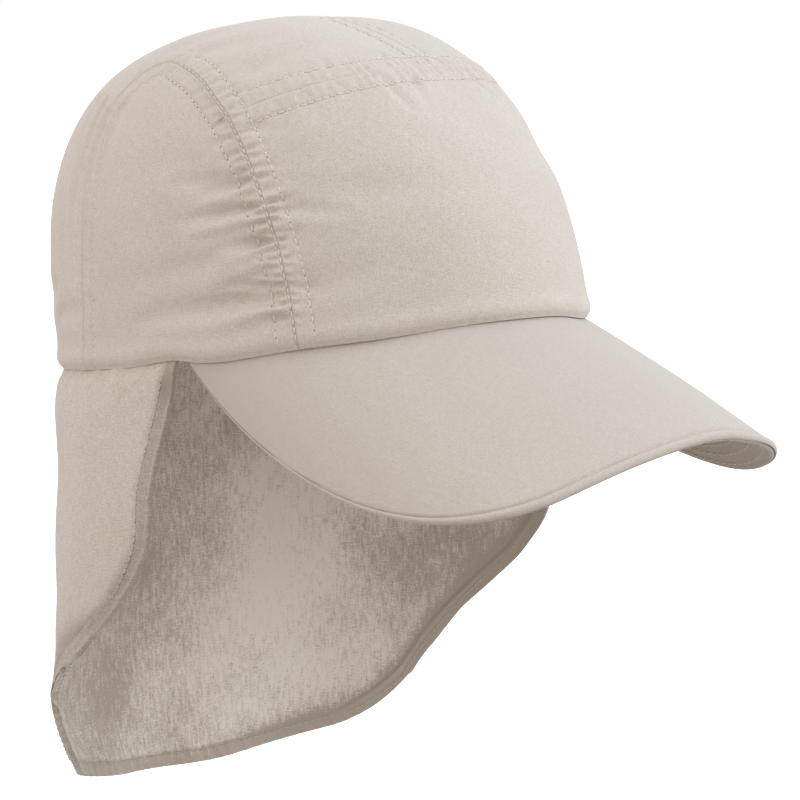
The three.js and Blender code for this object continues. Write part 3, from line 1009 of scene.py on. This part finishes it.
# Peak
# A stiff curved board, covered above and below with the crown's cotton. The top cover is
# turned over the edge, and the under cover shows as a thin lip below it.
peak_end_angle = 86.2
peak_reach = 73.4
peak_side_gain = 0.856
peak_corner_power = 6.65
peak_fan = 0.196
peak_bow = 1.3
peak_root_inset = 1.8
peak_tip_share = 0.9985
peak_cover_thick = 1.5
peak_cover_gap = 0.22
peak_lip = 0.5
peak_roll = 3.2
peak_roll_lift = 0.35
peak_groove_deep = 0.75

peak_drops = table(
    "side drop",
    (-1.0, 55.1),
    (-0.9, 44.4),
    (-0.75, 38.5),
    (-0.5, 37.5),
    (-0.25, 38.3),
    (0.0, 37.4),
    (0.25, 36.6),
    (0.5, 37.5),
    (0.75, 41.0),
    (0.9, 43.3),
    (1.0, 45.6),
)
peak_droop = smooth_column(peak_drops, "side", "drop")


def peak_form(side, outward):
    """The peak's upper face before it is tipped: side from -1 to 1, outward from 0 to 1."""
    side, outward = np.broadcast_arrays(np.asarray(side, float), np.asarray(outward, float))
    angle = np.radians(peak_end_angle * side)
    even = side * side
    drop = np.radians(peak_droop(side))
    fan = peak_fan * angle
    reach = peak_reach * (1.0 + peak_side_gain * even) * (1.0 - np.abs(side) ** peak_corner_power)
    root = crown_form(peak_end_angle * side, np.zeros_like(side))
    root[..., 0] *= 1.0 - peak_root_inset / opening_half_width
    root[..., 1] *= 1.0 - peak_root_inset / opening_half_length
    root[..., 2] += peak_bow * 4.0 * outward * (1.0 - outward) * (1.0 - even) - 0.12
    heading = np.stack(
        [np.sin(fan) * np.cos(drop), -np.cos(fan) * np.cos(drop), -np.sin(drop)], -1
    )
    return root + heading * (reach * outward)[..., None]


def peak_facing(side, outward):
    step = 0.0008
    sideways = peak_form(side + step, outward) - peak_form(side - step, outward)
    forward = peak_form(side, outward + 0.01) - peak_form(side, outward)
    upward = np.cross(sideways, -forward)
    upward *= np.where(upward[..., 2:] < 0.0, -1.0, 1.0)
    return upward / np.linalg.norm(upward, axis=-1, keepdims=True)


peak_cloth = cotton("peak_cloth", (203, 192, 181), (183, 170, 157), 1.1, 0.15, 0.2, 0.6)
# The under cover is the same cotton given a slightly darker colour: painted shade for the face that
# looks down.
peak_under_cloth = cotton("peak_under_cloth", (198, 185, 172), (172, 158, 144), 1.2, 0.2, 0.3, 0.6)

peak_turns = np.linspace(-1.0, 1.0, 221)
peak_sides = peak_tip_share * np.sin(peak_turns * math.pi / 2.0)
edge_steps = np.array(
    [0.0, 0.05, 0.13, 0.26, 0.45, 0.7, 1.0, 1.4, 1.8, 2.2, 2.6, 3.0, 3.4, 3.8, 4.3, 5.0]
)
peak_middle_length = 96.0
near_edge_shares = 1.0 - edge_steps[::-1] / peak_middle_length
peak_shares = np.concatenate([np.linspace(0.0, near_edge_shares[0], 42)[:-1], near_edge_shares])
peak_edge_round = 1.3


def peak_cover(name, top_depth, lip, rounded_top, material):
    """Lays one cover of the peak: its two faces, the rolled edge and the groove beside it."""
    side = peak_sides[:, None]
    share = peak_shares[None, :]
    form = peak_form(side, share)
    facing = peak_facing(side, np.minimum(share, 0.99))
    rim = peak_form(side, np.ones_like(share))
    away = np.linalg.norm(rim - form, axis=-1)
    inward = peak_form(side, share * 0.0) - rim
    inward /= np.maximum(np.linalg.norm(inward, axis=-1, keepdims=True), 1e-6)
    form = form + inward * (lip * share)[..., None]
    missing = np.clip(peak_edge_round - away, 0.0, peak_edge_round)
    turned = peak_edge_round - np.sqrt(peak_edge_round**2 - missing**2)
    waves = soft_waves(form, 10, 60.0, 0.12, 11)
    if rounded_top:
        waves = waves - peak_groove_deep * np.exp(-(((away - peak_roll) / 0.5) ** 2))
        near_end = np.clip((side + 1.0) / 0.5, 0.25, 1.0)
        waves += peak_roll_lift * near_end * np.exp(-(((away - 0.5 * peak_roll) / 1.1) ** 2))
    upper = form + facing * (waves - top_depth - (turned if rounded_top else 0.0))[..., None]
    lifted = 0.0 if rounded_top else 0.6 * turned
    under = form + facing * (waves - top_depth - peak_cover_thick + lifted)[..., None]
    across = length_along(form[:, 40])[:, None]
    outward = share * peak_middle_length
    piece = sheet_mesh(name, tipped(upper), tipped(under), across, outward, [material])
    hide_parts(name)
    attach(piece, "root")
    return piece


under_depth = peak_cover_thick + peak_cover_gap
peak_cover("peak_top_cover", 0.0, 0.0, True, peak_cloth)
peak_cover("peak_under_cover", under_depth, peak_lip, False, peak_under_cloth)

# Peak stitching
# Rows of stitching follow the edge of the peak on its under side and hold the board in place.
peak_rows = []
peak_row_steps = (4.0, 9.5, 15.0, 20.5, 26.0)
peak_row_start = 3.0
peak_stitch_pitch = 3.2
peak_stitch_length = 2.3
for step in peak_row_steps:
    side = np.linspace(-0.985, 0.985, 900)
    length = np.linalg.norm(peak_form(side, 1.0) - peak_form(side, 0.0), axis=-1)
    share = 1.0 - (step + peak_lip) / np.maximum(length, step * 1.3)
    keep = length > step * 2.4
    side, share = side[keep], share[keep]
    facing = peak_facing(side, share)
    depth = 2.0 * peak_cover_thick + peak_cover_gap + 0.04
    points = peak_form(side, share) - facing * depth
    gaps = length_along(points)
    centres = np.arange(peak_row_start, gaps[-1] - peak_row_start, peak_stitch_pitch)
    starts = read_along(centres - 0.5 * peak_stitch_length, gaps, points)
    ends = read_along(centres + 0.5 * peak_stitch_length, gaps, points)
    ways = read_along(centres, gaps, -facing)
    peak_rows.append((tipped(starts), tipped(ends), tipped(ways)))
stitches("peak_stitching", peak_rows, thread_thick, crown_thread)

# Neck flap
# One curtain of thinner cotton, sewn under the crown's edge from one end of the peak round
# the back to the other. Its free edges are turned twice and stitched as a narrow hem.
flap_start_angle = 91.5
flap_drop = 154.0
flap_sag = 17.0
flap_lower_width = 177.0
flap_corner = 19.0
flap_fold_depth = 2.6
flap_wall = 0.9
hem_wall = 1.9
hem_width = 5.2
hem_row_inset = 0.8
hem_outward = 0.3
hem_inward = 0.7

flap_sections = table(
    "level near_end far_end near back far",
    (0.0, 91.5, 91.5, 1.0, 1.0, 1.0),
    (0.1, 89.3, 95.0, 1.01, 1.035, 1.04),
    (0.28, 85.7, 102.0, 1.05, 1.015, 1.16),
    (0.42, 83.6, 104.8, 1.05, 1.02, 1.25),
    (0.56, 74.0, 98.2, 1.035, 1.02, 1.27),
    (0.66, 61.6, 90.5, 1.02, 1.025, 1.25),
    (0.74, 49.6, 84.7, 1.04, 1.02, 1.22),
    (0.82, 43.0, 79.5, 1.065, 1.005, 1.2),
    (0.9, 42.5, 75.7, 1.03, 0.985, 1.17),
    (0.96, 43.0, 73.0, 0.985, 0.96, 1.15),
    (1.0, 42.0, 70.6, 0.95, 0.95, 1.17),
)
near_end_at = smooth_column(flap_sections, "level", "near_end")
far_end_at = smooth_column(flap_sections, "level", "far_end")
near_flare_at = smooth_column(flap_sections, "level", "near")
back_flare_at = smooth_column(flap_sections, "level", "back")
far_flare_at = smooth_column(flap_sections, "level", "far")


def flap_form(u, v):
    """The flap as it hangs, by a share from the right end to the left end and a share down."""
    u, v = np.broadcast_arrays(np.asarray(u, float), np.asarray(v, float))
    spread = 2.0 * u - 1.0
    top = tipped(crown_form(180.0 - flap_start_angle * spread, np.zeros_like(u)))[..., 2]
    lowest = -flap_drop - flap_sag * (1.0 - spread**2)
    edge = np.minimum(u, 1.0 - u) * flap_lower_width
    missing = np.clip(flap_corner - edge, 0.0, flap_corner)
    rounded = lowest + flap_corner - np.sqrt(flap_corner**2 - missing**2)
    level = np.clip(v * (top - rounded) / (top - lowest), 0.0, 1.0)
    near_end, far_end = near_end_at(level), far_end_at(level)
    end_flare = np.where(spread < 0.0, near_flare_at(level), far_flare_at(level))
    share = back_flare_at(level)
    share = share + (end_flare - share) * spread**2
    turn = np.radians((far_end - near_end) / 2.0 + spread * (near_end + far_end) / 2.0)
    fold = flap_fold_depth * level * np.cos(spread * 9.5 + 0.8) * (1.0 - level * 0.35)
    back_length = opening_half_length * math.cos(math.radians(crown_pitch))
    return np.stack(
        [
            (opening_half_width * share + fold) * np.sin(turn),
            (back_length * share + fold) * np.cos(turn),
            top + (lowest - top) * level - 0.2,
        ],
        -1,
    )


def flap_facing(u, v):
    step = 0.003
    run = flap_form(np.minimum(u + step, 1.0), v) - flap_form(np.maximum(u - step, 0.0), v)
    fall = flap_form(u, np.minimum(v + step, 1.0)) - flap_form(u, np.maximum(v - step, 0.0))
    facing = np.cross(run, fall)
    return facing / np.maximum(np.linalg.norm(facing, axis=-1, keepdims=True), 1e-9)


flap_u = fine_shares(290.0, 1.0, 1.35, True, True)
flap_v = fine_shares(165.0, 1.0, 1.25, True, True)
flap_grid = flap_form(flap_u[:, None], flap_v[None, :])
near_run = np.linalg.norm(np.diff(flap_grid, axis=0), axis=-1)
flap_across = np.concatenate([np.zeros((1, len(flap_v))), np.cumsum(near_run, 0)])
flap_fall = np.linalg.norm(np.diff(flap_grid, axis=1), axis=-1)
flap_down = np.concatenate([np.zeros((len(flap_u), 1)), np.cumsum(flap_fall, 1)], 1)
edge_line = np.concatenate([flap_grid[0, :], flap_grid[1:, -1], flap_grid[-1, -2::-1]])
flap_edge = plain_line(edge_line)
edge_length = flap_edge["along"][-1]
# The top edge is pushed up inside the crown, where the rim seam holds it.
flap_tuck_up = 4.0
flap_tuck_in = 0.7
flap_tuck_tall = 2.6
edge_roll_deep = 2.4
edge_roll_wide = 3.9
edge_lean_deep = 1.0
edge_lean_wide = 9.0
lower_part_start = 92.0
hem_gathers = []
at = 6.0
while at < edge_length:
    at_bottom = 0.36 < at / edge_length < 0.72
    size = 0.5 + chance.random()
    hem_gathers.append({"along": at, "deep": (0.4 if at_bottom else 0.2) * size})
    at += 4.2 + 2.8 * chance.random()


def flap_relief(points, down, spread):
    """Lift of the hem, the dip at its stitching, small hem gathers and folds from the top seam."""
    gap, along = from_line(points, flap_edge)
    gap = np.abs(gap)
    hem = 1.0 / (1.0 + np.exp((gap - hem_width) * 5.0))
    relief = -0.35 * np.exp(-(((gap - hem_width + hem_row_inset) / 0.7) ** 2))
    ripple = np.zeros_like(relief)
    for row in hem_gathers:
        close = np.abs(along - row["along"]) < 8.0
        bent = along[close] - row["along"] + 0.2 * gap[close]
        ripple[close] += row["deep"] * pleat(bent, 1.0)
    far_side = np.clip(spread * 3.0 - 0.5, 0.0, 1.0)
    relief += ripple * (1.0 - 0.7 * far_side) * np.exp(-((gap / 6.8) ** 6))
    relief += soft_waves(points, 16, 52.0, 0.5, 21) * np.clip(down / 40.0, 0.0, 1.0)
    near_side = np.clip(-spread * 3.0 - 0.5, 0.0, 1.0)
    upper = np.clip((down - 1.0) / 9.0, 0.0, 1.0) * np.clip((118.0 - down) / 34.0, 0.0, 1.0)
    relief -= edge_roll_deep * near_side * upper * np.exp(-((gap / edge_roll_wide) ** 2.6))
    lower = np.clip((down - lower_part_start) / 20.0, 0.0, 1.0)
    lower = lower * np.clip((138.0 - down) / 20.0, 0.0, 1.0)
    relief -= edge_lean_deep * near_side * lower * np.exp(-((gap / edge_lean_wide) ** 2))
    pull = np.sin(points[..., 0] * 0.55 + 1.7 * np.sin(points[..., 1] * 0.31))
    relief += np.exp(-((down / 11.0) ** 2)) * 0.35 * pull
    relief -= 1.9 * np.exp(-((down / flap_tuck_tall) ** 2))
    return relief, hem


flap_normal = flap_facing(flap_u[:, None], flap_v[None, :])
flap_spread = np.broadcast_to(2.0 * flap_u[:, None] - 1.0, flap_grid.shape[:2])
flap_lift, hem_share = flap_relief(flap_grid, flap_down, flap_spread)
hem_thick = flap_wall + (hem_wall - flap_wall) * hem_share
hem_growth = hem_thick - flap_wall
tucked = np.clip(1.0 - flap_down / flap_tuck_tall, 0.0, 1.0)
flap_lift = flap_lift - flap_tuck_in * tucked
flap_grid[..., 2] += flap_tuck_up * tucked
flap_outer = flap_grid + flap_normal * (flap_lift + hem_outward * hem_growth)[..., None]
flap_inner = flap_grid + flap_normal * (flap_lift - flap_wall - hem_inward * hem_growth)[..., None]

# Light and shade that the photograph shows on the flap, painted into its colour as soft spots and
# bands of tone:
# painted light where daylight comes through the single cloth at the back, painted shade where the
# peak's shadow falls inside, and painted shade along the free edges, where the hem is thicker and
# the edges turn from the light.
inner_tones = table(
    "turn height wide tall tone",
    (44.0, -100.0, 18.0, 26.0, -0.55),
    (38.0, -138.0, 24.0, 22.0, -0.32),
    (15.0, -85.0, 10.0, 30.0, 0.3),
    (43.0, -66.0, 12.0, 14.0, -0.45),
    (72.0, -98.0, 12.0, 16.0, 0.35),
    (-7.0, -140.0, 14.0, 30.0, 0.55),
    (6.0, -100.0, 10.0, 26.0, 0.25),
    (94.0, -92.0, 12.0, 26.0, 0.65),
)
flap_turn = np.degrees(np.arctan2(flap_grid[..., 0], flap_grid[..., 1]))
# Strengths of the painted light and shade on the flap: positive is painted shade, negative is
# painted light.
inside_tone = 0.06
inside_hem_tone = 0.6
far_band_tone = 0.9
rolled_edge_tone = 0.42
rolled_corner_tone = 0.5
beyond_hem_tone = 0.75
on_hem_tone = -0.35
# Painted shade inside the hem, whose extra layers let less daylight through.
inner_shade = inside_tone + inside_hem_tone * hem_share
for row in inner_tones:
    sideways = (flap_turn - row["turn"]) / row["wide"]
    upward = (flap_grid[..., 2] - row["height"]) / row["tall"]
    inner_shade = inner_shade + row["tone"] * np.exp(-(sideways**2) - upward**2)
edge_gap = np.abs(from_line(flap_grid, flap_edge)[0])
near_side = np.clip(-flap_spread * 3.0 - 0.5, 0.0, 1.0)
far_side = np.clip(flap_spread * 3.0 - 0.5, 0.0, 1.0)
# Painted shade in a band along the far edge on the inside, wider near the top.
far_band = 8.0 + 4.0 * np.exp(-((flap_down / 60.0) ** 2))
inner_shade = inner_shade + far_band_tone * far_side * np.exp(-((edge_gap / far_band) ** 4))
# Painted shade on the outside of the near edge: the rolled strip that turns from the light, its
# folded corner at the top, and lower down a darker band beside the hem where the cloth curves away,
# the hem a little lighter.
lower_part = np.clip((flap_down - lower_part_start) / 24.0, 0.0, 1.0)
rolled_strip = 1.0 / (1.0 + np.exp((edge_gap - 4.3) * 3.0))
outer_shade = near_side * (1.0 - lower_part) * rolled_edge_tone * rolled_strip
at_corner = np.exp(-(((flap_down - 8.0) / 6.0) ** 2))
outer_shade += near_side * at_corner * rolled_corner_tone * rolled_strip
beyond_hem = np.exp(-((np.maximum(edge_gap - hem_width, 0.0) / 5.5) ** 1.6))
on_hem = 1.0 / (1.0 + np.exp((edge_gap - hem_width + 0.4) * 4.0))
outer_shade += near_side * lower_part * (beyond_hem_tone * beyond_hem + on_hem_tone * on_hem)
# Painted shade on the hem lower down.
outer_shade = np.maximum(outer_shade, 0.3 * hem_share * lower_part)
cloth_across = 92.0 * np.radians(flap_turn)
cloth_down = -flap_grid[..., 2]
flap_cloth = cotton("flap_cloth", (220, 208, 196), (170, 156, 143), 1.0, 0.3, 0.2, 0.7)
# The inside face is the same cotton as the outside, given a much lighter colour: painted light for
# the daylight that comes through the thin cloth.
flap_inside_cloth = cotton("flap_inside_cloth", (244, 234, 223), (186, 173, 160), 1.3, 1.7, 1.3, 0.6)
neck_flap = sheet_mesh(
    "neck_flap",
    flap_outer,
    flap_inner,
    cloth_across,
    cloth_down,
    [flap_cloth, flap_inside_cloth],
    [outer_shade, inner_shade],
)
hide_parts("neck_flap")
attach(neck_flap, "root")

# Flap stitching
# One row of the same stitch runs round the hem, close to its inner fold, on both faces.
hem_row_proud = 0.03
hem_row_start = 2.0


def hem_row(inset, lift_side):
    """One row of stitches round the free edge, on the outside or the inside of the flap."""
    corner_u = np.clip(inset / flap_across[-1].max(), 0.0, 0.5)
    down_shares = np.linspace(0.012, 1.0 - inset / 150.0, 420)
    across_shares = np.linspace(corner_u, 1.0 - corner_u, 700)
    near_u = np.full_like(down_shares, corner_u)
    far_u = np.full_like(down_shares, 1.0 - corner_u)[1:]
    low_v = np.full_like(across_shares, down_shares[-1])[1:]
    u_path = np.concatenate([near_u, across_shares[1:], far_u])
    v_path = np.concatenate([down_shares, low_v, down_shares[::-1][1:]])
    points = flap_form(u_path, v_path)
    facing = flap_facing(u_path, v_path)
    down = points[0, 2] - points[:, 2]
    lift, hem = flap_relief(points, down, 2.0 * u_path - 1.0)
    thick = flap_wall + (hem_wall - flap_wall) * hem
    if lift_side > 0.0:
        height = lift + hem_outward * (thick - flap_wall) + hem_row_proud
    else:
        height = lift - flap_wall - hem_inward * (thick - flap_wall) - hem_row_proud
    points = points + facing * height[:, None]
    gaps = length_along(points)
    centres = np.arange(hem_row_start, gaps[-1] - hem_row_start, stitch_pitch)
    starts = read_along(centres - 0.5 * stitch_length, gaps, points)
    ends = read_along(centres + 0.5 * stitch_length, gaps, points)
    return starts, ends, read_along(centres, gaps, lift_side * facing)


flap_thread = sewing_thread("flap_thread", (200, 188, 176))
hem_rows = [hem_row(hem_width - hem_row_inset, way) for way in (1.0, -1.0)]
hem_stitching = stitches("hem_stitching", hem_rows, thread_thick, flap_thread)
hem_holes = needle_holes("hem_needle_holes", hem_rows[:1], needle_shade)
